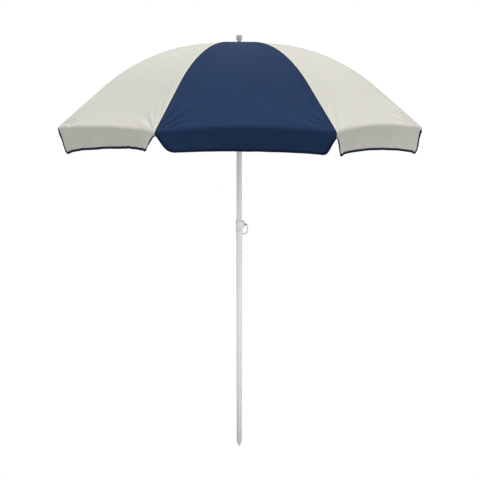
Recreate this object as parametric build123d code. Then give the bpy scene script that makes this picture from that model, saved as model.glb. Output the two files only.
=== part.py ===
from build123d import *
import os
from math import sin, cos, tan, radians, degrees, pi, sqrt, atan2, asin, acos

# Beach umbrella, 180 cm across the ribs and 2 m tall. Millimetres, +Z up the
# pole, origin at the point of the ground spike. Ribs stand at 22.5 degrees and
# every 45 degrees from there, so a panel faces each of X, -X, Y and -Y.
# Changing a size below moves what depends on it: the linkage is solved from
# the crown height, the rib curve and the two link lengths, and what slides on
# or fits into a tube takes its size from that tube.

# ---- whole object
PANELS = 8
CROWN_Z = 1970.0          # fabric at the pole's axis
CAP_TOP_Z = CROWN_Z + 30.0

# ---- fabric line at a rib: straight, round, straight
SLOPE_IN = 5.2            # degrees below level at the crown
SLOPE_OUT = 39.8          # degrees below level at the tip
LINE_IN = 153.0
BEND_R = 822.0
LINE_OUT = 247.0
FABRIC_T = 0.8
RIM_ARCH = 22.0           # the rim draws in this far between two ribs
VALANCE_DROP = 79.0       # valance's lower edge below a rib tip
NOTCH_TOP = 20.0          # the valances are joined this far down from a tip
NOTCH_HALF = 44.0         # half width of the notch at the lower edge
SEAM_GAP = 0.15           # half the gap between two cloth pieces

# ---- ribs and struts
PIN_R = 1.0
RUN_CLR = 0.05            # running clearance round a pin, on the radius
SIDE_CLR = 0.4            # side clearance of an eye in its slot
PUSH_CLR = 0.02           # a plug pushed into a tube
SLIDE_CLR = 0.07          # runner and collar on the upper tube
ROD_R = 2.0
EYE_R = PIN_R + 2.3
ROD_DROP = FABRIC_T / 2 + EYE_R + 1.1  # rod centre below the fabric's middle
TIP_CAP_R = ROD_R + 1.2
TIP_CAP_LEN = 14.8
TIP_CAP_END = 3.3         # solid end of the cap past the rod
RIB_REACH = 330.0         # hub wire to rib rivet
STRUT_LEN = 400.0         # rib rivet to runner pin
FOLDED_TIP_R = 98.0       # rib tip from the axis with the umbrella shut
STRUT_WALL = 0.8
STRUT_H = PIN_R + 2.0     # half height of the strut channel

# ---- poles
UPPER_R = 12.0
UPPER_WALL = 1.0
TUBE_GAP = 0.25           # between the two tubes, on the radius
LOWER_WALL = 1.0
LOWER_IN = UPPER_R + TUBE_GAP
LOWER_R = LOWER_IN + LOWER_WALL
SPIKE_SHOULDER = 35.0
UPPER_END_Z = 800.0       # bottom of the upper tube, inside the lower one

# ---- clamp collar on the lower tube's swaged neck, with its screw and hook
COLLAR_Z0 = 1117.0
COLLAR_LEN = 55.0
COLLAR_Z1 = COLLAR_Z0 + COLLAR_LEN
COLLAR_R = LOWER_R + 2.75
COLLAR_LIP = 0.8
NECK_CUT = 0.4            # the neck is this much smaller on the radius
NECK_R = LOWER_R - NECK_CUT
NECK_Z = COLLAR_Z0 - 5.0
TUBE_END_Z = COLLAR_Z0 + 21.0  # top of the lower tube, inside the collar
SCREW_Z = COLLAR_Z0 + 37.0
SCREW_R = 3.3
LUG_X = COLLAR_R + 9.0
LUG_HALF = 8.5
NUT_HALF = 5.5
NUT_X0 = UPPER_R + 5.5
NUT_X1 = NUT_X0 + 4.5
THREAD_END = LUG_X + 3.0
HOOK_WIRE_R = 3.6
HOOK_TOP_BEND = 9.0
HOOK_LOW_BEND = 17.0
HOOK_OUT = THREAD_END + 10.5   # outermost centre of the bent wire
HOOK_DROP = SCREW_Z - COLLAR_Z0 + 8.0
HOOK_END_X = LOWER_R + 1.2 + HOOK_WIRE_R

# ---- hub and runner
HUB_PIVOT_R = UPPER_R + 7.0
HUB_R = HUB_PIVOT_R + 5.5
HUB_PIVOT_Z = CROWN_Z - 14.0
RUNNER_PIVOT_R = UPPER_R + 9.0
RUNNER_FLANGE_R = RUNNER_PIVOT_R + 5.0
RUNNER_WALL = 2.8
RUNNER_SKIRT = 38.0       # below the pins
RUNNER_NECK = 14.0        # above the pins
RUNNER_BEAD = 2.2         # the sleeve's lower end stands out by this
STUD_R = 4.0              # carries the washer and the cap
WASHER_R = 10.5
CAP_R = 13.0
PLUG_BORE_R = 6.0

PIECES = {}
HALF = pi / PANELS
RIM_COS = cos(HALF)


def cyl(r, z0, z1, x=0.0, y=0.0):
    return Pos(x, y, (z0 + z1) / 2) * Cylinder(r, z1 - z0)


def tube(r_out, r_in, z0, z1):
    return cyl(r_out, z0, z1) - cyl(r_in, z0 - 1, z1 + 1)


def cyl_y(r, x, z, length):
    return Pos(x, 0, z) * Rot(90, 0, 0) * Cylinder(r, length)


def cyl_x(r, x0, x1, z):
    return Pos((x0 + x1) / 2, 0, z) * Rot(0, 90, 0) * Cylinder(r, x1 - x0)


def block(x0, x1, y0, y1, z0, z1):
    return Pos((x0 + x1) / 2, (y0 + y1) / 2, (z0 + z1) / 2) * Box(x1 - x0, y1 - y0, z1 - z0)


# ---- the fabric line at a rib, as (distance from axis, height)
A_IN = radians(SLOPE_IN)
A_OUT = radians(SLOPE_OUT)
KNEE_R = LINE_IN * cos(A_IN)
KNEE_Z = CROWN_Z - LINE_IN * sin(A_IN)
BEND_C = (KNEE_R - BEND_R * sin(A_IN), KNEE_Z - BEND_R * cos(A_IN))
BEND_END_R = BEND_C[0] + BEND_R * sin(A_OUT)
BEND_END_Z = BEND_C[1] + BEND_R * cos(A_OUT)
TIP_R = BEND_END_R + LINE_OUT * cos(A_OUT)
TIP_Z = BEND_END_Z - LINE_OUT * sin(A_OUT)
VALANCE_Z = TIP_Z - VALANCE_DROP


def fabric_z(r):
    if r <= KNEE_R:
        return CROWN_Z - r * tan(A_IN)
    if r <= BEND_END_R:
        return BEND_C[1] + sqrt(BEND_R ** 2 - (r - BEND_C[0]) ** 2)
    return BEND_END_Z - (r - BEND_END_R) * tan(A_OUT)


# ---- rib centre line: straight from the hub wire, round, straight to the tip
ROD_BEND = BEND_R - ROD_DROP
HUB_P = (HUB_PIVOT_R, HUB_PIVOT_Z)
HUB_TO_C = sqrt((HUB_P[0] - BEND_C[0]) ** 2 + (HUB_P[1] - BEND_C[1]) ** 2)
ROD_LINE = sqrt(HUB_TO_C ** 2 - ROD_BEND ** 2)
TOUCH = atan2(HUB_P[0] - BEND_C[0], HUB_P[1] - BEND_C[1]) + acos(ROD_BEND / HUB_TO_C)
ROD_ARC = ROD_BEND * (A_OUT - TOUCH)


def rod_point(s):
    """Point and slope below level at arc length s from the hub wire."""
    if s < ROD_LINE:
        return (HUB_P[0] + s * cos(TOUCH), HUB_P[1] - s * sin(TOUCH)), TOUCH
    if s < ROD_LINE + ROD_ARC:
        a = TOUCH + (s - ROD_LINE) / ROD_BEND
        return (BEND_C[0] + ROD_BEND * sin(a), BEND_C[1] + ROD_BEND * cos(a)), a
    d = s - ROD_LINE - ROD_ARC
    x = BEND_C[0] + ROD_BEND * sin(A_OUT) + d * cos(A_OUT)
    z = BEND_C[1] + ROD_BEND * cos(A_OUT) - d * sin(A_OUT)
    return (x, z), A_OUT


ROD_LEN = ROD_LINE + ROD_ARC + LINE_OUT - 8.0


def reach(s):
    p, _ = rod_point(s)
    return sqrt((p[0] - HUB_P[0]) ** 2 + (p[1] - HUB_P[1]) ** 2)


def rivet_length():
    low, high = 1.0, ROD_LEN
    for _ in range(60):
        mid = (low + high) / 2
        low, high = (mid, high) if reach(mid) < RIB_REACH else (low, mid)
    return (low + high) / 2


RIVET_S = rivet_length()
RIVET_P, RIVET_SLOPE = rod_point(RIVET_S)
RIB_ANGLE = atan2(HUB_P[1] - RIVET_P[1], RIVET_P[0] - HUB_P[0])
ROD_TIP, _ = rod_point(ROD_LEN)
TIP_REACH = sqrt((ROD_TIP[0] - HUB_P[0]) ** 2 + (ROD_TIP[1] - HUB_P[1]) ** 2)
TIP_ANGLE = atan2(HUB_P[1] - ROD_TIP[1], ROD_TIP[0] - HUB_P[0])
RIB_FOLD = pi / 2 - asin((FOLDED_TIP_R - HUB_PIVOT_R) / TIP_REACH) - TIP_ANGLE


def strut_angle(rib_angle):
    return acos((RIB_REACH * cos(rib_angle) + HUB_PIVOT_R - RUNNER_PIVOT_R) / STRUT_LEN)


def runner_z(rib_angle):
    return HUB_PIVOT_Z - RIB_REACH * sin(rib_angle) - STRUT_LEN * sin(strut_angle(rib_angle))


STRUT_OPEN = strut_angle(RIB_ANGLE)
STRUT_SHUT = strut_angle(RIB_ANGLE + RIB_FOLD)
RUNNER_Z = runner_z(RIB_ANGLE)
RUNNER_SHUT_Z = runner_z(RIB_ANGLE + RIB_FOLD)
RUNNER_TRAVEL = RUNNER_Z - RUNNER_SHUT_Z
STRUT_FOLD = STRUT_SHUT - STRUT_OPEN + RIB_FOLD


# ---- lower pole with a swaged neck at its top, and its spike
lower = tube(LOWER_R, LOWER_IN, SPIKE_SHOULDER, NECK_Z)
lower += tube(NECK_R, LOWER_IN, NECK_Z, TUBE_END_Z)
PIECES["lower_tube"] = lower

spike_line = [
    (0, 0),
    (2.0, 2.5),
    (LOWER_R - 1.2, SPIKE_SHOULDER - 8.0),
    (LOWER_R - 0.2, SPIKE_SHOULDER - 4.0),
    (LOWER_R - 0.2, SPIKE_SHOULDER),
    (LOWER_IN - PUSH_CLR, SPIKE_SHOULDER),
    (LOWER_IN - PUSH_CLR, SPIKE_SHOULDER + 38.0),
    (LOWER_IN - 2.0, SPIKE_SHOULDER + 40.0),
    (0, SPIKE_SHOULDER + 40.0),
]
spike_face = make_face(Polyline(*[(x, 0, z) for x, z in spike_line], close=True))
PIECES["ground_spike"] = revolve(spike_face, Axis.Z)

# ---- clamp collar: a sleeve with two lips, two side bars and a lug for the screw
collar = cyl(COLLAR_R, COLLAR_Z0, COLLAR_Z1)
collar += cyl(COLLAR_R + COLLAR_LIP, COLLAR_Z0, COLLAR_Z0 + 6)
collar += cyl(COLLAR_R + COLLAR_LIP, COLLAR_Z1 - 4, COLLAR_Z1)
lug = block(0, LUG_X, -LUG_HALF, LUG_HALF, SCREW_Z - 15.0, SCREW_Z + 16.0)
lug = fillet(lug.edges().filter_by(Axis.X), 6.0)
lug = fillet(lug.faces().sort_by(Axis.X)[-1].edges(), 2.5)
collar += lug
for k in (-1, 1):
    side_bar = block(0, COLLAR_R + 0.7, -1.5, 1.5, COLLAR_Z0 + 6, COLLAR_Z1 - 4)
    collar += Rot(0, 0, 90 * k) * side_bar
collar -= cyl(NECK_R + PUSH_CLR, COLLAR_Z0 - 1, TUBE_END_Z + 0.3)
collar -= cyl(UPPER_R + SLIDE_CLR, COLLAR_Z0 - 1, COLLAR_Z1 + 1)
collar -= cyl_x(SCREW_R + 0.3, 5, LUG_X + 5, SCREW_Z)
nut_c = 0.15
slot = block(NUT_X0 - nut_c, NUT_X1 + nut_c, -NUT_HALF - nut_c, NUT_HALF + nut_c,
             SCREW_Z - NUT_HALF - nut_c, SCREW_Z + 20)
collar -= slot
PIECES["height_collar"] = collar

nut = block(NUT_X0, NUT_X1, -NUT_HALF, NUT_HALF, SCREW_Z - NUT_HALF, SCREW_Z + NUT_HALF)
nut = chamfer(nut.edges().filter_by(Axis.X), 0.8)
PIECES["screw_nut"] = nut - cyl_x(SCREW_R + RUN_CLR, NUT_X0 - 1, NUT_X1 + 1, SCREW_Z)

# two rivets pin the collar to the lower tube, front and back of the bore
RIVET_R = 1.55
rivet_z = COLLAR_Z0 + 13.0
for name, turn in (("collar_rivet_front", -90), ("collar_rivet_back", 90)):
    hole = Rot(0, 0, turn) * cyl_x(RIVET_R + RUN_CLR, LOWER_IN - 2, COLLAR_R + 3, rivet_z)
    PIECES["height_collar"] -= hole
    PIECES["lower_tube"] -= hole
    seat = COLLAR_R + 0.75
    rivet_line = Polyline(
        (LOWER_IN + 0.2, 0, rivet_z),
        (LOWER_IN + 0.2, 0, rivet_z + RIVET_R),
        (seat, 0, rivet_z + RIVET_R),
        (seat, 0, rivet_z + RIVET_R + 1.65),
        (seat + 0.9, 0, rivet_z + RIVET_R + 1.05),
        (seat + 1.5, 0, rivet_z + RIVET_R - 0.15),
        (seat + 1.6, 0, rivet_z),
        close=True,
    )
    rivet = revolve(make_face(rivet_line), Axis((0, 0, rivet_z), (1, 0, 0)))
    PIECES[name] = Rot(0, 0, turn) * rivet

# ---- locking screw: bare threaded shank, then a coated wire bent into a hook
ridge = 0.35
pitch = 1.5
thread_line = [
    (UPPER_R + 0.1, 0),
    (UPPER_R + 0.1, SCREW_R - 1.2),
    (UPPER_R + 1.3, SCREW_R - ridge),
]
x = UPPER_R + 1.3
while x + pitch < THREAD_END - 1:
    thread_line += [(x + pitch / 2, SCREW_R), (x + pitch, SCREW_R - ridge)]
    x += pitch
thread_line += [(THREAD_END, SCREW_R - ridge), (THREAD_END, 0)]
thread = make_face(Polyline(*[(a, 0, SCREW_Z + b) for a, b in thread_line], close=True))
PIECES["locking_screw"] = revolve(thread, Axis((0, 0, SCREW_Z), (1, 0, 0)))

MID_ARC = 1 - cos(radians(45))   # how far a quarter turn's middle is from each side
hook_start = (THREAD_END, 0, SCREW_Z)
top_in = (HOOK_OUT - HOOK_TOP_BEND, 0, SCREW_Z)
top_mid = (HOOK_OUT - HOOK_TOP_BEND * MID_ARC, 0, SCREW_Z - HOOK_TOP_BEND * MID_ARC)
top_out = (HOOK_OUT, 0, SCREW_Z - HOOK_TOP_BEND)
low_z = SCREW_Z - HOOK_DROP
low_in = (HOOK_OUT, 0, low_z + HOOK_LOW_BEND)
low_mid = (HOOK_OUT - HOOK_LOW_BEND * MID_ARC, 0, low_z + HOOK_LOW_BEND * MID_ARC)
low_out = (HOOK_OUT - HOOK_LOW_BEND, 0, low_z)
hook_end = (HOOK_END_X, 0, low_z)
hook_path = Wire([
    Edge.make_line(hook_start, top_in),
    Edge.make_three_point_arc(top_in, top_mid, top_out),
    Edge.make_line(top_out, low_in),
    Edge.make_three_point_arc(low_in, low_mid, low_out),
    Edge.make_line(low_out, hook_end),
])
hook = sweep(Plane(origin=hook_start, z_dir=(1, 0, 0)) * Circle(HOOK_WIRE_R), path=hook_path)
hook += Pos(*hook_end) * Sphere(HOOK_WIRE_R)
PIECES["screw_hook"] = hook

# ---- upper pole and the guide plug at its lower end
upper_in = UPPER_R - UPPER_WALL
UPPER_TOP = HUB_PIVOT_Z - 7.0
upper = tube(UPPER_R, upper_in, UPPER_END_Z, UPPER_TOP)
plug = cyl(upper_in - PUSH_CLR, UPPER_END_Z, UPPER_END_Z + 25)
plug += cyl(LOWER_IN - SLIDE_CLR, UPPER_END_Z - 12, UPPER_END_Z)
plug -= cyl(PLUG_BORE_R, UPPER_END_Z - 20, UPPER_END_Z + 30)
PIECES["mast_plug"] = plug

# ---- spring catch under the runner, let into the back of the upper tube
CATCH_TOP = RUNNER_Z - RUNNER_SKIRT - 0.3
CATCH_W = 3.0
CATCH_OUT = 3.0
catch_hole = block(5, UPPER_R + 3, -CATCH_W - 0.4, CATCH_W + 0.4, CATCH_TOP - 20.5, CATCH_TOP + 0.5)
upper -= Rot(0, 0, 90) * catch_hole
PIECES["upper_tube"] = upper
leaf_x = UPPER_R - UPPER_WALL - 2.2
nose_line = [
    (leaf_x, CATCH_TOP),
    (UPPER_R + CATCH_OUT, CATCH_TOP),
    (UPPER_R + CATCH_OUT, CATCH_TOP - 4),
    (leaf_x, CATCH_TOP - 20),
]
nose_face = make_face(Polyline(*[(a, CATCH_W, b) for a, b in nose_line], close=True))
catch = extrude(nose_face, amount=2 * CATCH_W, dir=(0, -1, 0))
catch += block(leaf_x - 0.8, leaf_x, -CATCH_W, CATCH_W, CATCH_TOP - 60, CATCH_TOP + 8)
PIECES["runner_catch"] = Rot(0, 0, 90) * catch


def octagon_wire(apothem, z, r):
    """A closed wire whose straight sides cross the rib planes square."""
    corner = apothem / RIM_COS
    ring = None
    for k in range(PANELS):
        a0, a1 = k * 2 * HALF, (k + 1) * 2 * HALF
        c0 = Vector(corner * cos(a0), corner * sin(a0), z)
        c1 = Vector(corner * cos(a1), corner * sin(a1), z)
        bar = Plane(origin=c0, z_dir=(c1 - c0).normalized()) * Circle(r)
        bar = extrude(bar, amount=(c1 - c0).length)
        bar += Pos(c0.X, c0.Y, z) * Sphere(r)
        ring = bar if ring is None else ring + bar
    return ring


def octagon_prism(apothem, z0, z1):
    corner = apothem / RIM_COS
    face = RegularPolygon(corner, PANELS)
    return Pos(0, 0, z0) * extrude(face, amount=z1 - z0)


# ---- crown hub: slotted plate on a plug, with a stud for the cap
HUB_Z0, HUB_Z1 = HUB_PIVOT_Z - 7.0, HUB_PIVOT_Z + 8.0
CAP_Z0 = CAP_TOP_Z - 21.0
hub = cyl(HUB_R, HUB_Z0, HUB_Z1)
hub = fillet(hub.edges().group_by(Axis.Z)[-1], 2.5)
hub += cyl(upper_in - PUSH_CLR, HUB_Z0 - 32, HUB_Z0)
hub += cyl(STUD_R, HUB_Z1, CAP_TOP_Z - 6)
hub -= cyl(3.0, HUB_Z0 - 40, HUB_Z0 - 4)
eye_w = ROD_R + SIDE_CLR
for k in range(PANELS):
    turn = 22.5 + 45 * k
    rib_slot = block(HUB_PIVOT_R - EYE_R - 0.5, HUB_R + 5, -eye_w, eye_w, HUB_Z0 - 1, HUB_Z1 + 1)
    hub -= Rot(0, 0, turn) * rib_slot
groove_r = PIN_R + RUN_CLR
groove = cyl(HUB_R + 5, HUB_PIVOT_Z - groove_r, HUB_PIVOT_Z + groove_r)
groove -= octagon_prism(HUB_PIVOT_R - groove_r, HUB_PIVOT_Z - 5, HUB_PIVOT_Z + 5)
hub -= groove
PIECES["crown_hub"] = hub
PIECES["hub_wire"] = octagon_wire(HUB_PIVOT_R, HUB_PIVOT_Z, PIN_R)

CLOTH_HOLE = STUD_R + 1.0
washer_z0 = CROWN_Z + FABRIC_T / 2 + 0.3
washer = cyl(WASHER_R, washer_z0, CAP_Z0 - 0.1) - cyl(STUD_R + PUSH_CLR, washer_z0 - 1, CAP_Z0 + 1)
washer = fillet(washer.edges().filter_by(GeomType.CIRCLE).group_by(SortBy.RADIUS)[-1], 1.5)
PIECES["crown_washer"] = washer
cap = cyl(CAP_R, CAP_Z0, CAP_TOP_Z)
cap = fillet(cap.edges().group_by(Axis.Z)[-1], 6.0)
cap = fillet(cap.edges().group_by(Axis.Z)[0], 1.0)
cap -= cyl(STUD_R + PUSH_CLR, CAP_Z0 - 1, CAP_TOP_Z - 5)
PIECES["crown_cap"] = cap

# ---- runner: sleeve, slotted flange, and hook sockets that the strut pins snap into
FLANGE_H = 6.0
bore = UPPER_R + SLIDE_CLR
runner = cyl(UPPER_R + RUNNER_WALL, RUNNER_Z - RUNNER_SKIRT, RUNNER_Z + RUNNER_NECK)
runner += cyl(RUNNER_FLANGE_R, RUNNER_Z - FLANGE_H, RUNNER_Z + FLANGE_H)
bead_z = RUNNER_Z - RUNNER_SKIRT
runner += cyl(UPPER_R + RUNNER_WALL + RUNNER_BEAD, bead_z, bead_z + 6)
runner -= cyl(bore, RUNNER_Z - 100, RUNNER_Z + 100)
pin_half = 6.0
strut_half = ROD_R + SIDE_CLR + STRUT_WALL
for k in range(PANELS):
    turn = 22.5 + 45 * k
    way_half = strut_half + SIDE_CLR
    slot = block(RUNNER_PIVOT_R - STRUT_H - 0.6, RUNNER_FLANGE_R + 5, -way_half, way_half,
                 RUNNER_Z - FLANGE_H - 1, RUNNER_Z + FLANGE_H + 1)
    w = groove_r + 0.15
    socket = cyl_y(w, RUNNER_PIVOT_R, RUNNER_Z, 2 * pin_half + 0.8)
    for lean in (52.0, 60.0, 72.0):
        way = Pos(10, 0, 0) * Box(20, 2 * pin_half + 0.8, 2 * w)
        socket += Pos(RUNNER_PIVOT_R, 0, RUNNER_Z) * Rot(0, lean, 0) * way
    runner -= Rot(0, 0, turn) * (slot + socket)
PIECES["runner"] = runner

# ---- one rib, drawn in the XZ plane and turned to its place
ROD_START = PIN_R + 1.4    # the rod begins inside the eye, past the wire's hole
line_a, _ = rod_point(ROD_START)
line_b, _ = rod_point(ROD_LINE)
arc_m, _ = rod_point(ROD_LINE + ROD_ARC / 2)
arc_b, _ = rod_point(ROD_LINE + ROD_ARC)
end_b, _ = rod_point(ROD_LEN)


def v3(p, y=0.0):
    return (p[0], y, p[1])


rib_path = Wire([
    Edge.make_line(v3(line_a), v3(line_b)),
    Edge.make_three_point_arc(v3(line_b), v3(arc_m), v3(arc_b)),
    Edge.make_line(v3(arc_b), v3(end_b)),
])
rod_start = Plane(origin=v3(line_a), z_dir=(cos(TOUCH), 0, -sin(TOUCH)))
rod = sweep(rod_start * Circle(ROD_R), path=rib_path)
rod += cyl_y(EYE_R, HUB_P[0], HUB_P[1], 2 * ROD_R)
rod += cyl_y(EYE_R, RIVET_P[0], RIVET_P[1], 2 * ROD_R)
rod -= cyl_y(PIN_R + RUN_CLR, HUB_P[0], HUB_P[1], 20)
rod -= cyl_y(PIN_R + RUN_CLR, RIVET_P[0], RIVET_P[1], 20)

# tip cap: blind socket pushed over the rod, with a round end
cap_bore = TIP_CAP_LEN - TIP_CAP_END
cap_at, cap_slope = rod_point(ROD_LEN - cap_bore)
cap_shoulder = TIP_CAP_LEN - TIP_CAP_R
tip_cap = cyl(TIP_CAP_R, 0, cap_shoulder) + Pos(0, 0, cap_shoulder) * Sphere(TIP_CAP_R)
tip_cap -= cyl(ROD_R + PUSH_CLR, -1, cap_bore + PUSH_CLR)
tip_cap = Plane(origin=v3(cap_at), z_dir=(cos(cap_slope), 0, -sin(cap_slope))) * tip_cap

# ---- one strut: a channel with a rivet at the rib and a cross pin at the runner
RUN_P = (RUNNER_PIVOT_R, RUNNER_Z)
inner_half = ROD_R + SIDE_CLR
strut = None
for side in (-1, 1):
    y0, y1 = sorted((side * inner_half, side * strut_half))
    plate = block(0, STRUT_LEN, y0, y1, -STRUT_H, STRUT_H)
    plate += Pos(0, (y0 + y1) / 2, 0) * Rot(90, 0, 0) * Cylinder(STRUT_H, y1 - y0)
    plate += Pos(STRUT_LEN, (y0 + y1) / 2, 0) * Rot(90, 0, 0) * Cylinder(STRUT_H, y1 - y0)
    strut = plate if strut is None else strut + plate
strut += block(14, STRUT_LEN - 18, -strut_half, strut_half, STRUT_H - STRUT_WALL, STRUT_H)
strut += cyl_y(PIN_R, STRUT_LEN, 0, 2 * strut_half + 1.2)
strut += cyl_y(PIN_R, 0, 0, 2 * pin_half)
along = (cos(STRUT_OPEN), 0, sin(STRUT_OPEN))
across = (-sin(STRUT_OPEN), 0, cos(STRUT_OPEN))
strut = Plane(origin=v3(RUN_P), x_dir=along, z_dir=across) * strut


# ---- half a cloth panel with its valance: the panel lies on straight chords
# between two ribs, so in its own frame it is one line pushed sideways
def offset_line(side, r0, r1, count):
    """The fabric line moved half a thickness up or down, squeezed to the panel's middle."""
    pts = []
    for i in range(count + 1):
        r = r0 + (r1 - r0) * i / count
        pts.append((r * RIM_COS, fabric_z(r) + side * FABRIC_T / 2))
    return pts


def panel_profile():
    r_far = TIP_R + 40
    spans = ((CLOTH_HOLE, KNEE_R, 1), (KNEE_R, BEND_END_R, 10), (BEND_END_R, r_far, 1))
    top_in, top_mid, top_out = [offset_line(1, a, b, n) for a, b, n in spans]
    low_in, low_mid, low_out = [offset_line(-1, a, b, n) for a, b, n in spans]
    edges = [
        Edge.make_line(v3(top_in[0]), v3(top_in[1])),
        Edge.make_spline([Vector(*v3(p)) for p in top_mid]),
        Edge.make_line(v3(top_out[0]), v3(top_out[1])),
        Edge.make_line(v3(top_out[1]), v3(low_out[1])),
        Edge.make_line(v3(low_out[1]), v3(low_out[0])),
        Edge.make_spline([Vector(*v3(p)) for p in reversed(low_mid)]),
        Edge.make_line(v3(low_in[1]), v3(low_in[0])),
        Edge.make_line(v3(low_in[0]), v3(top_in[0])),
    ]
    return Face(Wire(edges))


RIM_U = TIP_R * RIM_COS
RIM_V = TIP_R * sin(HALF)
CHORD_R = (RIM_V ** 2 + RIM_ARCH ** 2) / (2 * RIM_ARCH)


def rim_u(v, inset=0.0):
    """The rim's distance out at v across the panel: an arc hollow towards the outside."""
    return RIM_U - RIM_ARCH + CHORD_R - sqrt((CHORD_R + inset) ** 2 - v ** 2)


def rib_line_v(u):
    return u * tan(HALF) - SEAM_GAP / cos(HALF)


def rim_end(inset):
    """Where the rim's arc meets the rib line."""
    v = RIM_V
    for _ in range(30):
        v = rib_line_v(rim_u(v, inset))
    return rim_u(v, inset), v


def half_gore():
    spare = 50.0              # cutting bodies reach this far past the cloth
    width = RIM_V + spare
    slab = extrude(panel_profile(), amount=width, dir=(0, 1, 0))
    u_in = CLOTH_HOLE + 0.5
    ue, ve = rim_end(0.0)
    vm = ve / 2
    plan = Wire([
        Edge.make_line((u_in, SEAM_GAP, 0), (rim_u(SEAM_GAP), SEAM_GAP, 0)),
        Edge.make_three_point_arc((rim_u(SEAM_GAP), SEAM_GAP, 0), (rim_u(vm), vm, 0), (ue, ve, 0)),
        Edge.make_line((ue, ve, 0), (u_in, rib_line_v(u_in), 0)),
        Edge.make_line((u_in, rib_line_v(u_in), 0), (u_in, SEAM_GAP, 0)),
    ])
    plan_solid = Pos(0, 0, TIP_Z - spare) * extrude(Face(plan), amount=CROWN_Z - TIP_Z + 2 * spare)
    cloth = slab & plan_solid
    t = FABRIC_T
    ui, vi = rim_end(t)
    vmi = vi / 2
    band = Wire([
        Edge.make_line((rim_u(SEAM_GAP, t), SEAM_GAP, 0), (rim_u(SEAM_GAP), SEAM_GAP, 0)),
        Edge.make_three_point_arc((rim_u(SEAM_GAP), SEAM_GAP, 0), (rim_u(vm), vm, 0), (ue, ve, 0)),
        Edge.make_line((ue, ve, 0), (ui, vi, 0)),
        Edge.make_three_point_arc((ui, vi, 0), (rim_u(vmi, t), vmi, 0), (rim_u(SEAM_GAP, t), SEAM_GAP, 0)),
    ])
    wall = Pos(0, 0, VALANCE_Z) * extrude(Face(band), amount=VALANCE_DROP + RIM_ARCH + spare)
    r0, r1 = BEND_END_R, TIP_R + 40
    lid = Polyline(
        v3((r0 * RIM_COS, fabric_z(r0))),
        v3((r1 * RIM_COS, fabric_z(r1))),
        v3((r1 * RIM_COS, VALANCE_Z - 20)),
        v3((r0 * RIM_COS, VALANCE_Z - 20)),
        close=True,
    )
    wall = wall & extrude(make_face(lid), amount=width, dir=(0, 1, 0))
    notch = Polyline(
        (0, ve + 2, TIP_Z - NOTCH_TOP),
        (0, ve - 1, TIP_Z - NOTCH_TOP),
        (0, ve - NOTCH_HALF + 6, VALANCE_Z + 6),
        (0, ve - NOTCH_HALF - 4, VALANCE_Z - 0.1),
        (0, ve - NOTCH_HALF - 4, VALANCE_Z - 5),
        (0, ve + 2, VALANCE_Z - 5),
        close=True,
    )
    wall -= extrude(make_face(notch), amount=TIP_R + spare, dir=(1, 0, 0))
    return cloth + wall


gore_left = half_gore()
gore_right = mirror(gore_left, about=Plane.XZ)

for k in range(PANELS):
    n = k + 1
    turn = 22.5 + 45 * k
    PIECES[f"rib_{n}"] = Rot(0, 0, turn) * rod
    PIECES[f"rib_tip_{n}"] = Rot(0, 0, turn) * tip_cap
    PIECES[f"strut_{n}"] = Rot(0, 0, turn) * strut
    # the panel before this rib is navy where its middle faces an axis
    before, after = ("navy", "beige") if k % 2 == 0 else ("beige", "navy")
    PIECES[f"canopy_{before}_{n}"] = Rot(0, 0, 45 * k) * gore_left
    PIECES[f"canopy_{after}_{n}"] = Rot(0, 0, 45 * (k + 1)) * gore_right

print("rib tip", round(TIP_R, 2), round(TIP_Z, 2), "hub pivot", HUB_P)
print("rivet", RIVET_P, "rib fold deg", degrees(RIB_FOLD), "strut fold deg", degrees(STRUT_FOLD))
print("runner z", RUNNER_Z, "travel", RUNNER_TRAVEL, "strut open", degrees(STRUT_OPEN))
print("rod length", ROD_LEN, "pieces", len(PIECES))

os.makedirs("parts", exist_ok=True)
for name, piece in PIECES.items():
    if isinstance(piece, list):
        piece = Compound(list(piece))
    solids = piece.solids()
    solid = solids[0] if len(solids) == 1 else Compound(solids)
    solid.label = name
    export_step(solid, f"parts/{name}.step")
    if len(solids) != 1 or not solid.is_valid:
        print("CHECK", name, "solids", len(solids), "valid", solid.is_valid)
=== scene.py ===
# %% [markdown]
# # A beach umbrella, dressed in cloth and finishes
# The measured frame of the umbrella is loaded first: poles, hub, ribs, struts and runner, each on the
# body that carries it. This notebook adds what the frame cannot have: thin cloth with its folds, sewn
# edges, and a finish for every part. Lengths are in metres, +Z runs up the pole.

# %% The frame and its box
from math import cos, pi, radians, sin, sqrt, tan
import bpy
import numpy as np
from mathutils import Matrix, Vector
from mathutils.bvhtree import BVHTree


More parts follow.
